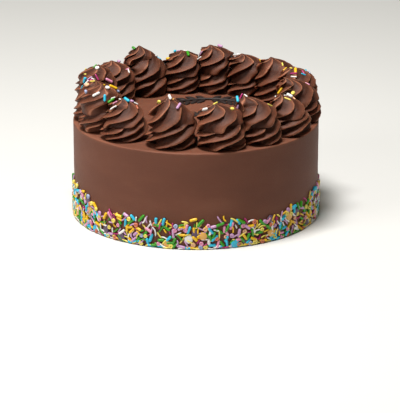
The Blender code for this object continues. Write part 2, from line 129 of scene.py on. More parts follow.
def icing_material(name, tint, mottle, painted_light_share, grain_size, grain_depth, streak):
    """Butter icing: brown with softly mixed paler and deeper patches, painted highlights on lips, painted
    shade in grooves and a satin skin.
    """
    deep, brown, pale_and_highlight = (
        (*(part * share for part, share in zip(colour, tint)), 1)
        for colour in (ICING_DEEP_AND_SHADE, ICING_BROWN, ICING_PALE_AND_HIGHLIGHT)
    )
    made = bpy.data.materials.new(name)
    made.use_nodes = True
    nodes, links = made.node_tree.nodes, made.node_tree.links
    shader = nodes["Principled BSDF"]
    place = nodes.new("ShaderNodeTexCoord")
    stretch = nodes.new("ShaderNodeMapping")
    stretch.inputs["Scale"].default_value = streak
    links.new(place.outputs["Object"], stretch.inputs["Vector"])

    cloud = nodes.new("ShaderNodeTexNoise")
    cloud.inputs["Scale"].default_value = PATCH_SCALE
    cloud.inputs["Detail"].default_value = 4
    links.new(stretch.outputs["Vector"], cloud.inputs["Vector"])
    blend = nodes.new("ShaderNodeMapRange")
    blend.inputs["From Min"].default_value, blend.inputs["From Max"].default_value = PATCH_RANGE
    blend.inputs["To Min"].default_value = -mottle
    blend.inputs["To Max"].default_value = mottle
    links.new(cloud.outputs["Fac"], blend.inputs["Value"])

    # Painted light: a mesh attribute lightens lips and edges as painted highlight and darkens grooves and
    # creases as painted shade
    painted_light_and_shade = nodes.new("ShaderNodeAttribute")
    painted_light_and_shade.attribute_name = "painted_light_and_shade"
    raised = nodes.new("ShaderNodeMath")
    raised.operation = "MULTIPLY_ADD"
    raised.inputs[1].default_value = painted_light_share
    links.new(painted_light_and_shade.outputs["Fac"], raised.inputs[0])
    links.new(blend.outputs["Result"], raised.inputs[2])
    tone = nodes.new("ShaderNodeValToRGB")
    tone.color_ramp.elements[0].color = deep
    tone.color_ramp.elements[1].color = pale_and_highlight
    tone.color_ramp.elements.new(0.5).color = brown
    centred = nodes.new("ShaderNodeMath")
    centred.operation = "ADD"
    centred.inputs[1].default_value = 0.5
    links.new(raised.outputs["Value"], centred.inputs[0])
    links.new(centred.outputs["Value"], tone.inputs["Fac"])
    links.new(tone.outputs["Color"], shader.inputs["Base Color"])

    grain = nodes.new("ShaderNodeTexNoise")
    grain.inputs["Scale"].default_value = grain_size
    grain.inputs["Detail"].default_value = 5
    grain.inputs["Roughness"].default_value = 0.6
    links.new(stretch.outputs["Vector"], grain.inputs["Vector"])
    relief = nodes.new("ShaderNodeBump")
    relief.inputs["Strength"].default_value = GRAIN_STRENGTH
    relief.inputs["Distance"].default_value = grain_depth
    links.new(grain.outputs["Fac"], relief.inputs["Height"])
    links.new(relief.outputs["Normal"], shader.inputs["Normal"])

    satin = nodes.new("ShaderNodeMapRange")
    satin.inputs["To Min"].default_value, satin.inputs["To Max"].default_value = SATIN
    links.new(grain.outputs["Fac"], satin.inputs["Value"])
    links.new(satin.outputs["Result"], shader.inputs["Roughness"])
    shader.inputs["Specular IOR Level"].default_value = SHEEN
    shader.inputs["Subsurface Weight"].default_value = GLOW_SHARE
    shader.inputs["Subsurface Radius"].default_value = GLOW_REACH
    shader.inputs["Subsurface Scale"].default_value = GLOW_DEPTH
    return made


def body_rows():
    """The body's profile from the axis of the top, over the edge and down to the foot."""
    rows = [(CAKE_RADIUS * share, CAKE_HEIGHT) for share in TOP_ROWS]
    rows += [(CAKE_RADIUS - inwards, CAKE_HEIGHT + rise) for inwards, rise in TOP_DIP]
    for turn in range(0, 91, 15):
        angle = math.radians(turn)
        drop = EDGE_ROUND * (1 - math.cos(angle))
        rows.append((CAKE_RADIUS - EDGE_ROUND * (1 - math.sin(angle)), CAKE_HEIGHT - drop))
    for step in range(1, SIDE_ROWS):
        rows.append((CAKE_RADIUS, (CAKE_HEIGHT - EDGE_ROUND) * (1 - step / SIDE_ROWS)))
    rows.append((CAKE_RADIUS - FOOT_DRAWN_IN, 0.0))
    rows.append((CAKE_RADIUS / 2, 0.0))
    return rows


rows = body_rows()
turn = np.linspace(0, math.tau, BODY_COLUMNS, endpoint=False)
level = np.ones(BODY_COLUMNS)
rings = [(reach * np.cos(turn), reach * np.sin(turn), height * level) for reach, height in rows]
points = np.concatenate([np.column_stack(ring) for ring in rings])
reach = np.hypot(points[:, 0], points[:, 1])
outward = points * [1, 1, 0] / np.maximum(reach, 1e-6)[:, None]
on_side = np.clip((reach - CAKE_RADIUS + MARKS_FADE) / MARKS_FADE, 0, 1) * (points[:, 2] > NEAR_FOOT)
points += outward * ((marks(points, SCRAPER_MARKS) - SCRAPED_BACK) * on_side)[:, None]
edge = np.clip(1 - np.abs(points[:, 2] - CAKE_HEIGHT) / EDGE_TALL, 0, 1)
edge *= np.clip((reach - CAKE_RADIUS + EDGE_WIDE) / EDGE_SOFT, 0, 1)
points[:, 2] += edge * (marks(points, EDGE_MARKS) - EDGE_LOWERED)
points = np.vstack((points, [(0, 0, CAKE_HEIGHT), (0, 0, 0)]))
faces = [tuple(reversed(face)) for face in capped_faces(len(rows), BODY_COLUMNS)]
body = new_piece("iced_body", points, faces)
# Painted highlight: the lifted top edge is painted lighter, where it catches the light
rim_highlight = body.data.attributes.new("painted_light_and_shade", "FLOAT", "POINT")
rim_highlight.data.foreach_set("value", np.append(edge, (0, 0)).astype(np.float32))
body.data.materials.append(
    icing_material(
        "scraped_icing", tint=(1, 1, 1), mottle=0.08, painted_light_share=0.10,
        grain_size=900, grain_depth=0.00030, streak=(0.6, 0.6, 1.5),
    )
)
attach(body, "root")
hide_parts("cake")

# The piped swirls
# Sixteen swirls of the same icing, each a star-shaped rope wound twice round itself and pulled off
# into a bent tip. They stand on the top edge and press against their neighbours.
# The piped icing is tinted warmer and a little darker than the body's: painted light, for the light bounced
# between its ridges
PIPED_BOUNCE_TINT = (1.00, 0.92, 0.82)
# Each row: bearing from the front towards the right, distance from the axis, half width, height, how far
# the body leans to the right and to the back and the tip to the right, fullness, bearing at which the
# rope starts, and sharpness of the ridges
SWIRLS = (
    (-14.4, 0.080, 0.0227, 0.0400, -0.002, 0.002, -0.002, 0.88, -70, 1.00),
    (14.4, 0.084, 0.0225, 0.0360, -0.002, 0.001, -0.004, 0.97, -120, 1.00),
    (38, 0.086, 0.0195, 0.0385, -0.007, 0.002, -0.007, 1.00, -60, 1.00),
    (61, 0.090, 0.0195, 0.0330, -0.003, 0.000, -0.005, 0.90, -100, 0.90),
    (85, 0.0892, 0.0185, 0.0385, 0.001, -0.003, -0.015, 0.98, -40, 0.80),
    (107, 0.091, 0.0192, 0.0372, 0.003, 0.002, -0.006, 0.98, -150, 0.80),
    (128, 0.0895, 0.0200, 0.0380, 0.002, 0.001, -0.007, 0.98, -90, 0.90),
    (149, 0.088, 0.0202, 0.0364, 0.003, -0.002, -0.008, 1.00, -50, 1.00),
    (168, 0.088, 0.0208, 0.0414, 0.002, -0.001, -0.008, 1.04, -110, 1.00),
    (188, 0.088, 0.0202, 0.0364, 0.0035, -0.002, -0.0045, 1.00, -80, 0.85),
    (211, 0.0885, 0.0210, 0.0430, -0.005, 0.000, 0.000, 0.90, -30, 1.00),
    (235, 0.0895, 0.0200, 0.0355, 0.002, 0.002, -0.003, 1.00, -130, 0.75),
    (255, 0.0895, 0.0190, 0.0405, -0.001, -0.001, 0.003, 1.00, -60, 0.42),
    (273, 0.0880, 0.0178, 0.0345, 0.001, 0.001, 0.000, 0.92, -90, 0.28),
    (293, 0.0865, 0.0196, 0.0395, 0.001, -0.002, -0.001, 0.98, -140, 0.36),
    (314, 0.083, 0.0205, 0.0330, 0.000, 0.001, -0.002, 0.88, -75, 1.00),
)
# The nozzle's teeth, and how the rope winds: its turn from foot to tip and how much of it comes early, the
# sweep of a ridge within one turn, the climb for each turn, and the jog where one turn lies on the next
LOBES = 6
TWIST = math.radians(252)
EARLY_TWIST = 0.10
SWEEP = math.radians(70)
ROPE_CLIMB = 0.46
CLIMB_CHANGE = (0.90, 1.12)
JOG = math.radians(26)
WANDER = ((0.10, 5, 1), (0.15, 13, 2))
# Grooves as a share of the half width, the crease between two turns, and how far ridges hang over it
GROOVE_DEPTH = 0.35
CREASE_DEPTH = 0.0030
CREASE_SAG = 0.0018
LOW_CREASE, HIGH_CREASE = 0.09, 0.12
CREASE_FROM, CREASE_TO = 0.12, 0.25
BELLY_PLACE, BELLY_REACH = 0.12, 0.10
BLUNT_CREASE, BLUNT_GROOVE = 0.2, 0.3
GROOVE_CLOSED = 0.55
DROOP = 0.044
LEAN_STARTS, TIP_STARTS = 2.0, 5.0
TIP_BLUNT, TIP_POINT = 0.0004, 0.0003
# No two ridges are alike: their heights, and how far they shift and sway as a share of their spacing
CREST_HEIGHTS = (0.78, 1.18)
CREST_SHIFT, CREST_SWAY = 0.14, 0.22
# Painted highlight on a crest's lip, a broader one under it, painted shade in grooves and creases, and the
# marks that run along a ridge
LIP_HIGHLIGHT_SHARE = 0.045
BAND_SHARE, BAND_PLACE, BAND_HIGHLIGHT = 0.12, 0.06, 0.85
GROOVE_SHADE, CREASE_SHADE = 1.3, 0.6
NOZZLE_MARKS = ((3, 0.00013), (5, 0.00009))
SOFT_SIZE, SOFT_DEPTH = 0.012, 0.00040
RAGGED_SIZE, RAGGED_DEPTH = 0.0030, 0.00026
# Where two swirls touch, their ridges are pressed flat, and the seam between them waves a little. The pairs
# say from where, and over how much more, a point counts as facing the neighbour, near it and crowded by it
FACING, NEAR, CROWDED = (0.80, 0.14), (0.66, 0.16), (-0.95, 0.08)
SQUASH_START = 0.72
TOUCH_GAP = 0.0003
TOUCH_FILL = 0.95
TOUCH_WAVE = 0.0011
TOUCH_WAVE_LENGTH = 0.013
# Share of the height, then share of the width of a full round swirl and of a slender pointed one
OUTLINE = (
    (0.00, 0.88, 0.88), (0.03, 0.95, 0.95), (0.09, 0.99, 0.99), (0.18, 1.00, 1.00), (0.30, 0.99, 0.97),
    (0.42, 0.98, 0.91), (0.54, 0.97, 0.82), (0.65, 0.94, 0.71), (0.75, 0.86, 0.57), (0.83, 0.74, 0.42),
    (0.89, 0.57, 0.28), (0.925, 0.38, 0.17), (0.945, 0.22, 0.12), (0.97, 0.12, 0.08), (1.0, 0.02, 0.02),
)
FULL_FROM, FULL_TO = 0.78, 1.00
# From one crest to the next: share of the way, then share of the groove's depth. The icing rolls over
# into a thin lip at the crest, is undercut below it and hollow up to the next lip
LOBE_SHAPE = (
    (0.000, 0.01), (0.020, 0.05), (0.040, 0.14), (0.060, 0.30), (0.082, 0.52), (0.108, 0.73), (0.145, 0.89),
    (0.20, 0.98), (0.27, 1.00), (0.35, 0.96), (0.44, 0.88), (0.52, 0.78), (0.59, 0.675), (0.65, 0.575),
    (0.70, 0.47), (0.745, 0.345), (0.79, 0.21), (0.84, 0.10), (0.895, 0.03), (0.95, 0.0),
)
COLUMNS = LOBES * len(LOBE_SHAPE)
SEGMENTS, ROWS_A_TURN = 3, 38


def swirl_centre(number):
    """Where a swirl stands on the top."""
    bearing = math.radians(SWIRLS[number % len(SWIRLS)][0])
    return np.array((math.sin(bearing), -math.cos(bearing), 0)) * SWIRLS[number % len(SWIRLS)][1]


def eased(value):
    """A smooth step from 0 to 1."""
    value = np.clip(value, 0, 1)
    return value * value * (3 - 2 * value)


def bell(value, middle, reach):
    """One in the middle, fading to nothing on both sides."""
    return np.exp(-(((value - middle) / reach) ** 2))


def squashed(points, number):
    """Moves points back into the room between a swirl and its neighbours, and presses them flat there."""
    centre = swirl_centre(number)
    seam_wave = TOUCH_WAVE * np.sin(points[:, 2] / TOUCH_WAVE_LENGTH * math.tau)
    for side in (-1, 1):
        way = swirl_centre(number + side) - centre
        length = np.linalg.norm(way)
        way = way / length
        room = length / 2 - TOUCH_GAP / 2 + side * seam_wave
        reach = (points - centre) @ way
        free = SQUASH_START * room
        left = room - free
        held = np.where(reach > free, free + left * np.tanh((reach - free) / left), reach)
        faced = reach / np.maximum(np.linalg.norm((points - centre)[:, :2], axis=1), 1e-6)
        touching = eased((faced - FACING[0]) / FACING[1]) * eased((reach / room - NEAR[0]) / NEAR[1])
        crowded = eased((-length / 2 / SWIRLS[number][2] - CROWDED[0]) / CROWDED[1])
        held = held + np.maximum(room - held, 0) * TOUCH_FILL * touching * crowded
        points = points + np.outer(held - reach, way)
    return points


def swirl_skin(number):
    """The skin of a swirl as columns along its ridges, with painted highlight on lips and painted shade in
    grooves at each point.

    The rope climbs as it winds, so a column crosses the crease between two of its turns once or twice.
    """
    half_width, height, lean_right, lean_back, tip_right, fullness, rope_start, ridged = SWIRLS[number][2:]
    chance = np.random.default_rng(100 + number)
    pieces = LOBES * (SEGMENTS + 2)
    crest_height = chance.uniform(*CREST_HEIGHTS, pieces)
    crest_shift = chance.uniform(-CREST_SHIFT, CREST_SHIFT, pieces)
    crest_sway = chance.uniform(-CREST_SWAY, CREST_SWAY, pieces)
    start = math.radians(rope_start)
    lobe = np.repeat(np.arange(LOBES), len(LOBE_SHAPE))
    share, groove = (np.tile(column, LOBES) for column in np.array(LOBE_SHAPE).T)
    groove = groove * ridged + (0.5 - 0.5 * np.cos(math.tau * share)) * (1 - ridged)
    groove_share, crease_share = (blunt + (1 - blunt) * ridged for blunt in (BLUNT_GROOVE, BLUNT_CREASE))
    rest = (lobe + share) / LOBES
    climb = ROPE_CLIMB * chance.uniform(*CLIMB_CHANGE)
    along_ridge = climb / (1 - climb * TWIST / math.tau)
    roundness = min(1.0, max(0.0, (fullness - FULL_FROM) / (FULL_TO - FULL_FROM)))
    outline = np.array(OUTLINE)
    # Painted highlight along each crest: a thin lip and a broader band
    crest_highlight = BAND_HIGHLIGHT * bell(np.minimum(share, 1 - share), -BAND_PLACE, BAND_SHARE)
    crest_highlight = crest_highlight + bell(np.minimum(share, 1 - share), 0, LIP_HIGHLIGHT_SHARE)
    rows, painted_tones = [], []
    jogged = np.zeros(COLUMNS)
    for segment in range(SEGMENTS):
        foot = np.clip(along_ridge * (rest + segment - 1), 0, 1)
        head = np.clip(along_ridge * (rest + segment), 0, 1)
        if segment == SEGMENTS - 1:
            head = np.ones(COLUMNS)
        foot_hold, head_hold = (
            eased(end / CREASE_FROM) * eased((1 - end) / CREASE_TO) for end in (foot, head)
        )
        piece = segment * LOBES + lobe
        strong, moved, swayed = (
            change[piece] * (1 - share) + change[piece + 1] * share
            for change in (crest_height, crest_shift, crest_sway)
        )
        turn_jog = JOG * eased(rest + segment)
        for step in range(ROWS_A_TURN):
            part = step / ROWS_A_TURN
            rise = foot + (head - foot) * part
            pinched = np.maximum(
                bell(part, 0, LOW_CREASE) * foot_hold, bell(part, 1, HIGH_CREASE) * head_hold
            )
            belly = bell(part, BELLY_PLACE, BELLY_REACH) * foot_hold
            width = (1 - roundness) * np.interp(rise, outline[:, 0], outline[:, 2])
            width = width + roundness * np.interp(rise, outline[:, 0], outline[:, 1])
            deep = groove * strong * groove_share * (1 - GROOVE_CLOSED * pinched)
            swell = np.sin(math.pi * rise)
            reach = half_width * width * (1 - GROOVE_DEPTH * deep)
            reach = reach - CREASE_DEPTH * crease_share * pinched * np.sqrt(width)
            for lines, depth in NOZZLE_MARKS:
                reach = reach + depth * np.sin(math.tau * lines * share + piece + 2 * rise) * width
            wander = sum(far * np.sin(bends * rise + start_at * number) for far, bends, start_at in WANDER)
            wound = TWIST * rise * (1 + EARLY_TWIST * (1 - rise))
            around = start + math.tau * rest + wound + jogged + wander
            arch = np.sin(math.pi * part) * eased((head - foot) / 0.2)
            moved_over = moved * arch**0.5 + swayed * arch * np.cos(math.pi * part)
            around = around + math.tau / LOBES * moved_over
            around = around + turn_jog * 0.5 * eased((part - 0.9) / 0.1)
            around = around + SWEEP * (eased(part) - part) * eased((head - foot) / 0.3)
            lean, bend = rise**LEAN_STARTS, rise**TIP_STARTS
            drop = -DROOP * height * (1 - 2 * deep) * swell - CREASE_SAG * belly
            rows.append(
                np.column_stack(
                    (
                        reach * np.cos(around) + lean_right * lean + tip_right * bend,
                        reach * np.sin(around) + lean_back * lean,
                        height * rise + drop,
                    )
                )
            )
            # Painted highlight on the lips, painted shade in the grooves and in the crease between turns
            painted_tones.append(crest_highlight * strong * (1 - pinched) - GROOVE_SHADE * deep - CREASE_SHADE * pinched)
        jogged = jogged + turn_jog
    return np.concatenate(rows), np.concatenate(painted_tones)


def coil_faces(row_count):
    """The faces of a coil: after the last column each row goes on as the row one turn higher."""
    faces = []
    for row in range(row_count - 1):
        for column in range(COLUMNS - 1):
            low, high = row * COLUMNS + column, (row + 1) * COLUMNS + column
            faces.append((low, low + 1, high + 1, high))
    for row in range(row_count - 1 - ROWS_A_TURN):
        low = row * COLUMNS + COLUMNS - 1
        after = (row + ROWS_A_TURN) * COLUMNS
        faces.append((low, after, after + COLUMNS, low + COLUMNS))
    return faces


def piped_swirl(number):
    """One swirl as a closed mesh standing on the top."""
    local, tone = swirl_skin(number)
    height = SWIRLS[number][3]
    local[:, 2] = np.clip(local[:, 2], 0.0, height - TIP_BLUNT)
    soft = waves(local, 300 + number, 12, SOFT_SIZE) * SOFT_DEPTH
    ragged = waves(local, 400 + number, 12, RAGGED_SIZE) * RAGGED_DEPTH * np.clip(tone, 0, 1)
    axis = local * [1, 1, 0]
    axis /= np.maximum(np.linalg.norm(axis, axis=1), 1e-6)[:, None]
    live = np.clip(local[:, 2] / 0.002, 0, 1) * np.clip((1 - local[:, 2] / height) / 0.1, 0, 1)
    local += axis * ((soft + ragged) * live)[:, None]
    points = squashed(local + swirl_centre(number), number)
    points[:, 2] += CAKE_HEIGHT + TOUCH_GAP
    row_count = len(points) // COLUMNS
    faces = coil_faces(row_count)
    tip, foot = len(points), len(points) + 1
    last = (row_count - 1) * COLUMNS
    top = points[last:].mean(0)
    for column in range(COLUMNS - 1):
        faces.append((last + column, last + column + 1, tip))
        faces.append((foot, column + 1, column))
    for row in range(row_count - 1 - ROWS_A_TURN, row_count - 1):
        low = row * COLUMNS + COLUMNS - 1
        faces.append((low, tip, low + COLUMNS))
    seam_end = (row_count - ROWS_A_TURN) * COLUMNS - 1
    faces.append((seam_end, last, tip))
    faces.append((foot, 0, COLUMNS - 1))
    middle = swirl_centre(number) + [0, 0, CAKE_HEIGHT + TOUCH_GAP]
    points = np.vstack((points, top + [0, 0, TIP_POINT], middle))
    made = new_piece(f"piped_swirl_{number + 1:02d}", points, faces)
    # The painted highlights and painted shade are stored on the mesh for the icing material
    painted_light_and_shade = made.data.attributes.new("painted_light_and_shade", "FLOAT", "POINT")
    painted_light_and_shade.data.foreach_set("value", np.append(tone, (0, 0)).astype(np.float32))
    skin = bmesh.new()
    skin.from_mesh(made.data)
    bmesh.ops.remove_doubles(skin, verts=skin.verts, dist=2e-6)
    skin.to_mesh(made.data)
    skin.free()
    return made


# The piped icing carries a strong share of painted highlight and painted shade
piped_icing = icing_material(
    "piped_icing", tint=PIPED_BOUNCE_TINT, mottle=0.15, painted_light_share=0.62,
    grain_size=850, grain_depth=0.0006, streak=(1, 1, 1),
)
swirls = []
for number in range(len(SWIRLS)):
    swirl = piped_swirl(number)
    swirl.data.materials.append(piped_icing)
    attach(swirl, "root")
    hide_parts(f"swirl_{number + 1:02d}")
    swirls.append(swirl)

# The ornament on the top
# Dark chocolate piped through a paper cone: a bent stem with pairs of leaves, and a small sprig in
# front of it, laid straight on the icing.
THREAD = 0.0028
GARLAND_CENTRE = Vector((0.011, 0.012, CAKE_HEIGHT))
GARLAND_RADIUS = 0.040
GARLAND_FROM, GARLAND_TO = 36, 144
LEAF_PAIRS = 5
LEAF_LEAN = 52
SPRIG_FOOT = Vector((0.004, 0.002, CAKE_HEIGHT))
SPRIG_LEAVES = (-84, -42, 0, 42, 84)
LEAF_LENGTH = 0.0135
LEAF_WIDTH = 0.0054
LEAF_SQUASH, STEM_SQUASH = 0.42, 0.85
STEM_STEPS, LEAF_STEPS = 90, 30
STEM_LIFT, LEAF_LIFT = 0.30, 0.22
GARLAND_LEAF = 0.92
END_POINT = 0.3
DARK_CHOCOLATE = (0.014, 0.009, 0.008)
BLOOM_SCALE = 260


def tube(path, radii, sides, squash=1.0):
    """Points and faces of a closed round tube along a path, pressed flat by its squash."""
    path = np.array(path, dtype=float)
    radii = np.array(radii, dtype=float)
    along = np.gradient(path, axis=0)
    along /= np.linalg.norm(along, axis=1)[:, None]
    up = np.array((0.0, 0.0, 1.0))
    across = np.cross(along, up)
    across /= np.maximum(np.linalg.norm(across, axis=1), 1e-9)[:, None]
    over = np.cross(across, along)
    turn = np.arange(sides)[None, :, None] * math.tau / sides
    ring = np.cos(turn) * across[:, None, :] + squash * np.sin(turn) * over[:, None, :]
    points = (path[:, None, :] + radii[:, None, None] * ring).reshape(-1, 3)
    first_tip = path[0] - along[0] * radii[0] * END_POINT
    last_tip = path[-1] + along[-1] * radii[-1] * END_POINT
    return np.vstack((points, first_tip, last_tip)), capped_faces(len(path), sides)


def round_ended(radius, count, round_share):
    """Radii along a tube whose ends are rounded."""
    share = np.linspace(-1, 1, count)
    inward = np.clip((1 - np.abs(share)) / round_share, 0.02, 1)
    return radius * np.sqrt(1 - (1 - inward) ** 2)


def joined(parts):
    """One set of points and faces from several, with the number of each part beside each face."""
    points, faces, owners = [], [], []
    start = 0
    for owner, (part_points, part_faces) in enumerate(parts):
        points.append(np.array(part_points, dtype=float))
        faces.extend(tuple(start + corner for corner in face) for face in part_faces)
        owners.extend([owner] * len(part_faces))
        start += len(part_points)
    return np.vstack(points), faces, owners


def piped_stem():
    """The bent stem, which swells and thins as the cone is squeezed."""
    run = np.linspace(0, 1, STEM_STEPS)
    angle = np.radians(GARLAND_FROM + (GARLAND_TO - GARLAND_FROM) * run)
    path = np.column_stack((np.cos(angle), np.sin(angle), 0 * run)) * GARLAND_RADIUS
    path += np.array(GARLAND_CENTRE) + (0, 0, THREAD * STEM_LIFT)
    squeezed = 1 + 0.12 * np.sin(31 * run) * np.sin(9 * run)
    return tube(path, round_ended(THREAD / 2, STEM_STEPS, 0.05) * squeezed, 12, STEM_SQUASH)


def piped_leaf(foot, bearing, size):
    """A leaf: a short thick stroke with a thin foot and a drawn-out tip, its bearing clockwise from +Y."""
    run = np.linspace(0, 1, LEAF_STEPS)
    reach = LEAF_LENGTH * size * (0.10 + run)
    lean = math.radians(bearing)
    path = np.column_stack((reach * math.sin(lean), reach * math.cos(lean), 0 * run + THREAD * LEAF_LIFT))
    path += np.array(foot)
    radii = LEAF_WIDTH / 2 * size * np.sin(math.pi * np.clip(run * 0.93 + 0.03, 0, 1)) ** 0.75
    return tube(path, np.maximum(radii, 0.0001), 14, LEAF_SQUASH)


def garland_leaves():
    """Foot and bearing of each leaf along the stem, in pairs that point to the stem's two ends."""
    middle = (GARLAND_FROM + GARLAND_TO) / 2
    for side in (-1, 1):
        for pair in range(LEAF_PAIRS):
            share = (pair + 0.3) / LEAF_PAIRS
            angle = middle + side * share * (GARLAND_TO - GARLAND_FROM) / 2
            way = Vector((math.cos(math.radians(angle)), math.sin(math.radians(angle)), 0))
            forward = 90 - angle - side * 90
            for turn in (-1, 1):
                yield GARLAND_CENTRE + way * GARLAND_RADIUS, forward + turn * LEAF_LEAN


def chocolate_material():
    """Set dark chocolate: nearly black, with a soft sheen and a faint bloom."""
    made = bpy.data.materials.new("set_chocolate")
    made.use_nodes = True
    nodes, links = made.node_tree.nodes, made.node_tree.links
    shader = nodes["Principled BSDF"]
    bloom = nodes.new("ShaderNodeTexNoise")
    bloom.inputs["Scale"].default_value = BLOOM_SCALE
    bloom.inputs["Detail"].default_value = 3
    tone = nodes.new("ShaderNodeValToRGB")
    tone.color_ramp.elements[0].position = 0.35
    tone.color_ramp.elements[0].color = (*DARK_CHOCOLATE, 1)
    tone.color_ramp.elements[1].position = 0.75
    tone.color_ramp.elements[1].color = (*(2.0 * part for part in DARK_CHOCOLATE), 1)
    links.new(bloom.outputs["Fac"], tone.inputs["Fac"])
    links.new(tone.outputs["Color"], shader.inputs["Base Color"])
    shader.inputs["Roughness"].default_value = 0.50
    shader.inputs["Specular IOR Level"].default_value = 0.25
    relief = nodes.new("ShaderNodeBump")
    relief.inputs["Strength"].default_value = 0.3
    relief.inputs["Distance"].default_value = 0.0002
    links.new(bloom.outputs["Fac"], relief.inputs["Height"])
    links.new(relief.outputs["Normal"], shader.inputs["Normal"])
    return made


strokes = [piped_stem()]
strokes += [piped_leaf(foot, bearing, GARLAND_LEAF) for foot, bearing in garland_leaves()]
strokes += [piped_leaf(SPRIG_FOOT, bearing, 1.0) for bearing in SPRIG_LEAVES]
ornament = new_piece("piped_ornament", *joined(strokes)[:2])
ornament.data.materials.append(chocolate_material())
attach(ornament, "root")
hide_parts("cake")

# The sugar sprinkles
# Shop sprinkles in four shapes: thick rods, thin strands, scalloped sequins and small dimpled buttons,
# pressed by hand in a dense band round the foot and strewn over the swirls.
COLOURS = {
    "sky": (0.022, 0.430, 0.620),
    "green": (0.030, 0.255, 0.005),
    "amber": (0.730, 0.430, 0.006),
    "cream": (0.720, 0.600, 0.105),
    "lilac": (0.470, 0.260, 0.450),
    "pink": (0.650, 0.250, 0.390),
    "magenta": (0.370, 0.012, 0.135),
    "white": (0.720, 0.700, 0.680),
    "coral": (0.520, 0.135, 0.068),
    "periwinkle": (0.310, 0.360, 0.540),
    "dusk": (0.085, 0.048, 0.092),
    "apricot": (0.640, 0.340, 0.075),
    "peach": (0.680, 0.370, 0.210),
}
SUGAR_GLOSS = (0.26, 0.42)
SHELL_SCALE = 900
# For each shape the share of each colour
MIXES = {
    "rod": (("sky", 23), ("green", 29), ("amber", 26), ("lilac", 9), ("white", 5), ("pink", 8)),
    "strand": (("cream", 27), ("white", 27), ("lilac", 13), ("magenta", 13), ("amber", 12), ("green", 11)),
    "sequin": (("white", 20), ("apricot", 36), ("dusk", 34), ("sky", 10)),
    "button": (("cream", 32), ("coral", 18), ("periwinkle", 14), ("lilac", 12), ("pink", 16), ("peach", 8)),
}
ROD_LENGTH, STRAND_LENGTH = 0.0100, 0.0076
SEQUIN_DIAMETER, BUTTON_DIAMETER = 0.0072, 0.0044
THICKNESSES = {"rod": 0.0027, "strand": 0.0013, "sequin": 0.0016, "button": 0.0020}
# The first rows pressed on: height, pieces and scatter in height
BAND_ROWS = ((0.0035, 46, 0.0010), (0.0095, 43, 0.0022), (0.0160, 32, 0.0030), (0.0230, 20, 0.0036))
BAND_SEED = 33
BAND_FULL_HEIGHT = 0.0175
# How high the band was pressed on: bearing from the front towards the right, then the height
BAND_TOPS = (
    (-90, 0.031), (-80, 0.032), (-59, 0.031), (-49, 0.019), (-40, 0.025), (-27, 0.024), (-19, 0.024),
    (-8, 0.022), (0, 0.0275), (5, 0.0215), (11, 0.0270), (20, 0.0235), (28, 0.021), (33, 0.020),
    (41, 0.022), (46, 0.026), (57, 0.024), (64, 0.0275), (77, 0.031), (100, 0.028), (120, 0.023),
    (145, 0.026), (165, 0.022), (185, 0.027), (210, 0.023), (235, 0.027), (255, 0.025), (270, 0.031),
)
HANDFULS = (("rod", 340), ("strand", 520), ("sequin", 16), ("button", 150))
HIGH_SHARE = 0.22
PLACES_TRIED = 7
# Near the foot they lie flat: the share of their turn left there, and the height at which it is whole
FOOT_SPIN = 0.05
FLAT_BELOW = 0.0055
FOOT_PIECES = 104
# How far their middles stand out of the icing at most, those of the first rows by kind, and how far any
# sprinkle reaches
STAND_OUT = {"rod": 0.0007, "sequin": 0.0004, "button": 0.0006}
MOST_OUT = 0.0019
BAND_REACH = 0.1081
LOOSE_SUNK = 0.0004
BAND_LIMP, LOOSE_LIMP = 1.0, 0.3


def rod(chance, limp):
    """A thick sugar rod, slightly bent."""
    length = ROD_LENGTH * chance.uniform(0.55, 0.84)
    run = np.linspace(-0.5, 0.5, 11)
    bend = chance.uniform(-0.10, 0.10) * limp
    path = np.column_stack((run * length, bend * length * (run**2 - 0.08) * 2, np.zeros(11)))
    return tube(path, round_ended(THICKNESSES["rod"] / 2 * chance.uniform(0.84, 1.0), 11, 0.26), 10)


def strand(chance, limp):
    """A thin sugar strand, often bent."""
    length = STRAND_LENGTH * chance.uniform(0.55, 0.85 + 0.30 * limp)
    run = np.linspace(-0.5, 0.5, 9)
    bend = chance.choice((0.05, -0.08, 0.15, -0.22, 0.34)) * chance.uniform(0.4, 1.1) * limp
    path = np.column_stack((run * length, bend * length * (run**2 - 0.08) * 3, np.zeros(9)))
    return tube(path, round_ended(THICKNESSES["strand"] / 2, 9, 0.16), 8)


def turned_disc(profile, around, scallop):
    """A small disc from rings of reach and height, closed below and above, with a scalloped rim."""
    turn = np.arange(around) * math.tau / around
    edge = 1 + scallop * np.cos(6 * turn)
    across, along = edge * np.cos(turn), edge * np.sin(turn)
    rings = [(reach * across, reach * along, height + 0 * turn) for reach, height in profile]
    rings = [np.column_stack(ring) for ring in rings]
    middles = [(0, 0, profile[0][1]), (0, 0, profile[-1][1])]
    return np.vstack(rings + middles), capped_faces(len(profile), around)


def sequin(chance, _):
    """A flat sugar sequin with a scalloped rim and a raised middle."""
    reach = SEQUIN_DIAMETER / 2 * chance.uniform(0.94, 1.04)
    half = THICKNESSES["sequin"] / 2
    profile = (
        (reach * 0.85, -half), (reach * 0.97, -half * 0.5), (reach, half * 0.2),
        (reach * 0.92, half * 0.85), (reach * 0.70, half * 0.90), (reach * 0.52, half * 1.10),
        (reach * 0.20, half * 1.15),
    )
    return turned_disc(profile, 24, 0.055)


def button(chance, _):
    """A small dimpled sugar button."""
    reach = BUTTON_DIAMETER / 2 * chance.uniform(0.80, 1.0)
    half = THICKNESSES["button"] / 2
    profile = (
        (reach * 0.75, -half), (reach * 0.96, -half * 0.45), (reach, half * 0.15),
        (reach * 0.88, half * 0.75), (reach * 0.66, half), (reach * 0.45, half * 0.82),
        (reach * 0.24, half * 0.40),
    )
    return turned_disc(profile, 14, 0)


SHAPES = {"rod": rod, "strand": strand, "sequin": sequin, "button": button}


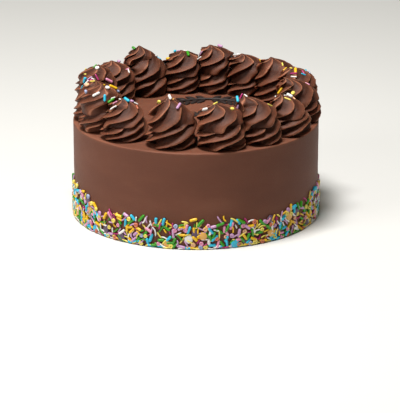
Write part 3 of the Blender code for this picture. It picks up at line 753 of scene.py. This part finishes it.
def side_frame(around, height, out):
    """A frame on the side of the cake: X along it, Y up and Z out of it."""
    along = Vector((-math.sin(around), math.cos(around), 0))
    outward = Vector((math.cos(around), math.sin(around), 0))
    place = outward * (CAKE_RADIUS + out) + Vector((0, 0, height))
    turned = Matrix((along, (0, 0, 1), outward)).transposed().to_4x4()
    return Matrix.Translation(place) @ turned


def spun(here, spin, tip):
    """The frame turned on the icing by its spin and tipped out of it, both in degrees."""
    return here @ Matrix.Rotation(math.radians(spin), 4, "Z") @ Matrix.Rotation(math.radians(tip), 4, "Y")


def drawn_colour(kind, chance):
    """A colour for a sprinkle of this kind, as often as its box holds it."""
    mix = MIXES[kind]
    pick = chance.uniform(0, sum(share for _, share in mix))
    for colour, share in mix:
        pick -= share
        if pick <= 0:
            return colour
    return mix[0][0]


def placed(kind, frame_here, chance, limp):
    """The points and faces of one sprinkle at its place. How far it may be bent is its limp."""
    points, faces = SHAPES[kind](chance, limp)
    turned = np.array(frame_here.to_3x3())
    return points @ turned.T + np.array(frame_here.translation), faces


def first_rows():
    """The larger sprinkles of the band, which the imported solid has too."""
    chance = random.Random(BAND_SEED)
    kinds = ("rod", "rod", "sequin", "rod", "button")
    made = []
    for height, pieces, scatter in BAND_ROWS:
        step = math.tau / pieces
        start = chance.uniform(0, step)
        for number in range(pieces):
            around = start + step * (number + chance.uniform(-0.28, 0.28))
            spin, tip = chance.uniform(-80, 80), chance.uniform(-14, 14)
            kind = kinds[len(made) % len(kinds)]
            here = side_frame(around, height + chance.uniform(-scatter, scatter), STAND_OUT[kind])
            made.append((kind, spun(here, spin, tip)))
    return made


def handful_rows():
    """The many smaller ones that fill the band, each put where it has most room of a few places."""
    chance = random.Random(7)
    spots = np.array([tuple(here.translation) for _, here in first_rows()])
    kinds = [kind for kind, count in HANDFULS for _ in range(count)]
    chance.shuffle(kinds)
    made = []
    for kind in kinds:
        tries = []
        for _ in range(PLACES_TRIED):
            around = chance.uniform(0, math.tau)
            top = np.interp((math.degrees(around) + 180) % 360 - 90, *np.array(BAND_TOPS).T)
            height = chance.uniform(0.0008, BAND_FULL_HEIGHT)
            if chance.random() < HIGH_SHARE:
                height = BAND_FULL_HEIGHT + (top - BAND_FULL_HEIGHT) * chance.random() ** 1.3
            x, y = CAKE_RADIUS * math.cos(around), CAKE_RADIUS * math.sin(around)
            gap = np.min(np.sum((spots - (x, y, height)) ** 2, axis=1))
            tries.append((gap, around, height))
        gap, around, height = max(tries)
        spots = np.vstack((spots, (CAKE_RADIUS * math.cos(around), CAKE_RADIUS * math.sin(around), height)))
        thick = THICKNESSES[kind]
        out = min(chance.uniform(0.15, 1.1) * thick, MOST_OUT - thick / 2)
        spin = chance.uniform(-90, 90) * min(1.0, FOOT_SPIN + height / FLAT_BELOW)
        made.append((kind, spun(side_frame(around, height, out), spin, chance.uniform(-10, 10))))
    return made


def foot_row():
    """The last ones, which rolled down and lie in a row along the foot."""
    chance = random.Random(11)
    made = []
    for number in range(FOOT_PIECES):
        kind = ("strand", "rod", "strand", "button")[number % 4]
        thick = THICKNESSES[kind]
        around = math.tau * (number + chance.uniform(-0.4, 0.4)) / FOOT_PIECES
        out = min(chance.uniform(0.4, 1.1) * thick, MOST_OUT - thick / 2)
        here = side_frame(around, thick / 2 + chance.uniform(0, 0.0006), out)
        made.append((kind, spun(here, chance.uniform(-8, 8), 0)))
    return made


def settled(points):
    """Lifts a sprinkle of the band onto the foot's level, and presses it in if it reaches too far."""
    points = points.copy()
    points[:, 2] += max(0.0, -points[:, 2].min())
    reach = np.hypot(points[:, 0], points[:, 1])
    furthest = np.argmax(reach)
    outward = points[furthest] * [1, 1, 0] / reach[furthest]
    return points - outward * max(0.0, reach[furthest] - BAND_REACH)


# The places of the sprinkles on the swirls are given as they are seen from outside and this far above
LOOK_DOWN = math.radians(18.9)
# Swirl, kind, colour, bearing that it is seen from, then how far right of the swirl's axis and how high
# it is seen from there, and its spin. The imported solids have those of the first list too
FALLEN_LARGE = (
    (1, "rod", "white", 0, -0.0022, 0.0420, 35), (1, "button", "cream", 0, -0.0100, 0.0365, 0),
    (1, "rod", "lilac", 0, 0.0055, 0.0318, 40), (2, "rod", "white", 0, -0.0130, 0.0300, 55),
    (2, "button", "cream", 0, 0.0090, 0.0310, 0), (3, "rod", "sky", 0, -0.0180, 0.0352, -50),
    (3, "rod", "lilac", 0, -0.0172, 0.0278, 85), (4, "rod", "white", 0, 0.0000, 0.0330, 30),
    (5, "rod", "amber", 0, -0.0185, 0.0280, -85), (5, "button", "cream", 0, -0.0060, 0.0226, 0),
    (6, "rod", "amber", 0, -0.0006, 0.0330, -70), (9, "rod", "lilac", 0, 0.0030, 0.0410, 25),
    (10, "rod", "green", 0, 0.0048, 0.0315, 60), (10, "rod", "sky", 0, -0.0066, 0.0355, 40),
    (11, "rod", "green", 0, -0.0095, 0.0405, 10), (13, "button", "white", 0, 0.0010, 0.0365, 0),
    (13, "rod", "sky", 0, -0.0090, 0.0258, 70), (13, "rod", "pink", 0, 0.0110, 0.0250, -35),
    (15, "button", "white", 0, 0.0050, 0.0352, 0), (15, "rod", "amber", 0, 0.0094, 0.0355, 80),
    (15, "rod", "white", 0, -0.0038, 0.0288, 50), (15, "rod", "sky", 0, 0.0033, 0.0260, -88),
    (15, "rod", "green", 0, 0.0078, 0.0240, 20), (16, "rod", "sky", 0, 0.0016, 0.0315, 50),
    (8, "rod", "white", 180, 0.0060, 0.0280, 35), (12, "rod", "lilac", 180, -0.0050, 0.0300, -30),
    (14, "button", "peach", 270, 0.0040, 0.0290, 0),
)
FALLEN_SMALL = (
    (1, "strand", "apricot", 0, 0.0012, 0.0385, -20), (2, "strand", "coral", 0, -0.0150, 0.0238, 60),
    (2, "strand", "cream", 0, -0.0047, 0.0360, 40), (3, "strand", "magenta", 0, -0.0160, 0.0390, 60),
    (3, "strand", "white", 0, -0.0123, 0.0410, 15), (3, "strand", "cream", 0, 0.0088, 0.0306, -75),
    (4, "strand", "white", 0, -0.0035, 0.0340, -60), (4, "strand", "white", 0, -0.0115, 0.0310, 20),
    (4, "strand", "cream", 0, -0.0018, 0.0285, -50), (4, "strand", "peach", 0, 0.0036, 0.0340, 30),
    (5, "strand", "peach", 0, -0.0097, 0.0264, 20), (5, "strand", "white", 0, -0.0134, 0.0236, 70),
    (6, "strand", "cream", 0, -0.0044, 0.0360, 10), (6, "strand", "magenta", 0, -0.0025, 0.0308, 20),
    (6, "strand", "magenta", 0, 0.0058, 0.0320, 80), (6, "strand", "white", 0, -0.0025, 0.0275, 5),
    (6, "strand", "sky", 0, 0.0087, 0.0350, -10), (6, "strand", "periwinkle", 0, 0.0120, 0.0335, 15),
    (7, "strand", "cream", 0, 0.0052, 0.0310, 60), (7, "strand", "amber", 0, 0.0071, 0.0266, 35),
    (8, "strand", "amber", 0, 0.0120, 0.0275, 80), (8, "strand", "amber", 0, 0.0123, 0.0235, 85),
    (9, "strand", "lilac", 0, -0.0140, 0.0330, 60), (9, "strand", "white", 0, -0.0155, 0.0280, 50),
    (10, "strand", "white", 0, 0.0038, 0.0360, 60), (10, "strand", "lilac", 0, -0.0030, 0.0362, 20),
    (10, "button", "amber", 0, -0.0145, 0.0310, 0), (10, "strand", "white", 0, -0.0165, 0.0240, 15),
    (10, "strand", "white", 0, -0.0168, 0.0160, 50), (11, "strand", "white", 0, 0.0104, 0.0340, -20),
    (11, "strand", "sky", 0, 0.0120, 0.0320, 60), (12, "strand", "pink", 0, 0.0130, 0.0280, 10),
    (12, "strand", "white", 0, 0.0140, 0.0265, 60), (13, "strand", "cream", 0, -0.0092, 0.0310, 20),
    (13, "strand", "green", 0, -0.0010, 0.0385, -70), (13, "strand", "lilac", 0, -0.0054, 0.0270, 35),
    (13, "strand", "magenta", 0, 0.0011, 0.0280, -60), (13, "strand", "white", 0, -0.0017, 0.0260, -30),
    (13, "strand", "pink", 0, -0.0080, 0.0210, 70), (14, "strand", "cream", 0, -0.0008, 0.0330, 20),
    (14, "strand", "sky", 0, -0.0110, 0.0300, 60), (14, "strand", "white", 0, -0.0060, 0.0320, 75),
    (14, "button", "magenta", 0, -0.0020, 0.0335, 0), (15, "strand", "amber", 0, 0.0024, 0.0380, -40),
    (15, "button", "periwinkle", 0, 0.0131, 0.0325, 0), (15, "button", "periwinkle", 0, -0.0128, 0.0325, 0),
    (15, "strand", "white", 0, 0.0100, 0.0262, 5), (15, "strand", "cream", 0, 0.0113, 0.0203, -40),
    (16, "strand", "white", 0, -0.0037, 0.0330, 20), (16, "strand", "pink", 0, -0.0080, 0.0300, 40),
    (16, "button", "lilac", 0, 0.0060, 0.0315, 0), (16, "strand", "white", 0, 0.0095, 0.0300, 80),
    (16, "strand", "coral", 0, 0.0104, 0.0258, 40), (16, "strand", "white", 0, -0.0090, 0.0250, 60),
    (7, "strand", "white", 180, 0.0040, 0.0330, 30), (9, "strand", "cream", 180, -0.0070, 0.0300, -50),
    (10, "strand", "magenta", 180, 0.0050, 0.0290, 70), (11, "strand", "green", 180, 0.0060, 0.0330, 15),
    (5, "strand", "pink", 90, 0.0050, 0.0280, 35), (6, "strand", "sky", 90, -0.0060, 0.0300, -40),
    (13, "strand", "cream", 270, -0.0050, 0.0300, 60), (14, "strand", "white", 270, -0.0060, 0.0240, -20),
)


def loose_frame(number, seen_from, right, high, spin, tree, sunk):
    """A frame on a swirl's skin at a place as it is seen, Z out of the skin.

    A place outside the swirl's outline is brought inwards and down until it is on it.
    """
    bearing = math.radians(seen_from)
    towards = Vector((-math.sin(bearing), math.cos(bearing), 0))
    to_the_right = Vector((math.cos(bearing), math.sin(bearing), 0))
    look = towards * math.cos(LOOK_DOWN) - Vector((0, 0, math.sin(LOOK_DOWN)))
    foot = Vector(swirl_centre(number)) + Vector((0, 0, CAKE_HEIGHT))
    for share in np.linspace(1.0, 0.2, 60):
        start = foot + (to_the_right * right + Vector((0, 0, high))) * share - look * SWIRLS[number][3] * 2
        hit, normal, _, _ = tree.ray_cast(start, look)
        if hit is not None:
            break
    across = Vector((0, 0, 1)).cross(normal).normalized()
    turned = Matrix((across, normal.cross(across), normal)).transposed().to_4x4()
    return spun(Matrix.Translation(hit - normal * sunk) @ turned, spin, 0)


parts = {kind: [] for kind in SHAPES}
chance = random.Random(21)
for kind, here in first_rows() + handful_rows() + foot_row():
    points, faces = placed(kind, here, chance, BAND_LIMP)
    parts[kind].append((settled(points), faces, drawn_colour(kind, chance)))
trees = []
for swirl in swirls:
    skin = bmesh.new()
    skin.from_mesh(swirl.data)
    trees.append(BVHTree.FromBMesh(skin))
    skin.free()
for number, kind, colour, seen_from, right, high, spin in FALLEN_LARGE + FALLEN_SMALL:
    sunk = LOOSE_SUNK - THICKNESSES[kind] / 2
    here = loose_frame(number - 1, seen_from, right, high, spin, trees[number - 1], sunk)
    points, faces = placed(kind, here, chance, LOOSE_LIMP)
    parts[kind].append((points, faces, colour))


def sugar_material(colour):
    """A hard sugar shell: one clear colour, glossy, with a faint orange-peel skin."""
    made = bpy.data.materials.new(f"sugar_{colour}")
    made.use_nodes = True
    nodes, links = made.node_tree.nodes, made.node_tree.links
    shader = nodes["Principled BSDF"]
    shader.inputs["Base Color"].default_value = (*COLOURS[colour], 1)
    shell = nodes.new("ShaderNodeTexNoise")
    shell.inputs["Scale"].default_value = SHELL_SCALE
    shell.inputs["Detail"].default_value = 2
    relief = nodes.new("ShaderNodeBump")
    relief.inputs["Strength"].default_value = 0.25
    relief.inputs["Distance"].default_value = 0.0001
    links.new(shell.outputs["Fac"], relief.inputs["Height"])
    links.new(relief.outputs["Normal"], shader.inputs["Normal"])
    gloss = nodes.new("ShaderNodeMapRange")
    gloss.inputs["To Min"].default_value, gloss.inputs["To Max"].default_value = SUGAR_GLOSS
    links.new(shell.outputs["Fac"], gloss.inputs["Value"])
    links.new(gloss.outputs["Result"], shader.inputs["Roughness"])
    return made


sugar = {colour: sugar_material(colour) for colour in COLOURS}
for kind, made in parts.items():
    points, faces, owners = joined([(points, faces) for points, faces, _ in made])
    piece = new_piece(f"sugar_{kind}s", points, faces)
    used = sorted({colour for _, _, colour in made})
    for colour in used:
        piece.data.materials.append(sugar[colour])
    slots = [used.index(colour) for _, _, colour in made]
    piece.data.polygons.foreach_set("material_index", [slots[owner] for owner in owners])
    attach(piece, "root")
    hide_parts("cake")

# The table, the light and the camera
# A plain pale table under a soft window light from the front left, seen as in the photo.
TABLE_PALE = (0.60, 0.60, 0.59)
ROOM_COLOUR, ROOM_STRENGTH = (0.86, 0.85, 0.72, 1), 0.19
LIGHT_AIM = Vector((0, 0, 0.07))
CAMERA_DISTANCE = 2.097
CAMERA_ELEVATION = math.radians(18.91)
CAMERA_LENS = 209.2
AIM_RIGHT = 0.00343
AIM_UP = 0.00117


def plain_finish(name, colour, roughness):
    """One even colour."""
    made = bpy.data.materials.new(name)
    made.use_nodes = True
    shader = made.node_tree.nodes["Principled BSDF"]
    shader.inputs["Base Color"].default_value = (*colour, 1)
    shader.inputs["Roughness"].default_value = roughness
    return made


def soft_light(name, place, size, power, tint):
    """A square soft light that faces the cake."""
    lamp = bpy.data.lights.new(name, "AREA")
    lamp.shape = "SQUARE"
    lamp.size = size
    lamp.energy = power
    lamp.color = tint
    holder = bpy.data.objects.new(name, lamp)
    holder.location = place
    holder.rotation_euler = (LIGHT_AIM - Vector(place)).to_track_quat("-Z", "Y").to_euler()
    bpy.context.scene.collection.objects.link(holder)


bpy.ops.mesh.primitive_plane_add(size=12, location=(0, 2, -0.0002))
table = bpy.context.object
table.name = "table"
table.data.materials.append(plain_finish("pale_table", TABLE_PALE, 0.6))

world = bpy.data.worlds.new("room")
world.use_nodes = True
world.node_tree.nodes["Background"].inputs["Color"].default_value = ROOM_COLOUR
world.node_tree.nodes["Background"].inputs["Strength"].default_value = ROOM_STRENGTH
bpy.context.scene.world = world
soft_light("ceiling_panel", (-0.20, -0.24, 1.55), 0.50, 41, (1.0, 0.98, 0.95))
soft_light("window", (-1.30, -0.95, 0.85), 0.70, 12.0, (1.0, 0.97, 0.94))

camera_data = bpy.data.cameras.new("camera")
camera_data.lens = CAMERA_LENS
camera_data.sensor_width = 36
camera = bpy.data.objects.new("camera", camera_data)
bpy.context.scene.collection.objects.link(camera)
back = Vector((0, -math.cos(CAMERA_ELEVATION), math.sin(CAMERA_ELEVATION)))
upward = Vector((0, math.sin(CAMERA_ELEVATION), math.cos(CAMERA_ELEVATION)))
camera.location = back * CAMERA_DISTANCE + Vector((1, 0, 0)) * AIM_RIGHT + upward * AIM_UP
camera.rotation_euler = (-back).to_track_quat("-Z", "Y").to_euler()
bpy.context.scene.camera = camera
bpy.context.scene.view_settings.view_transform = "Standard"
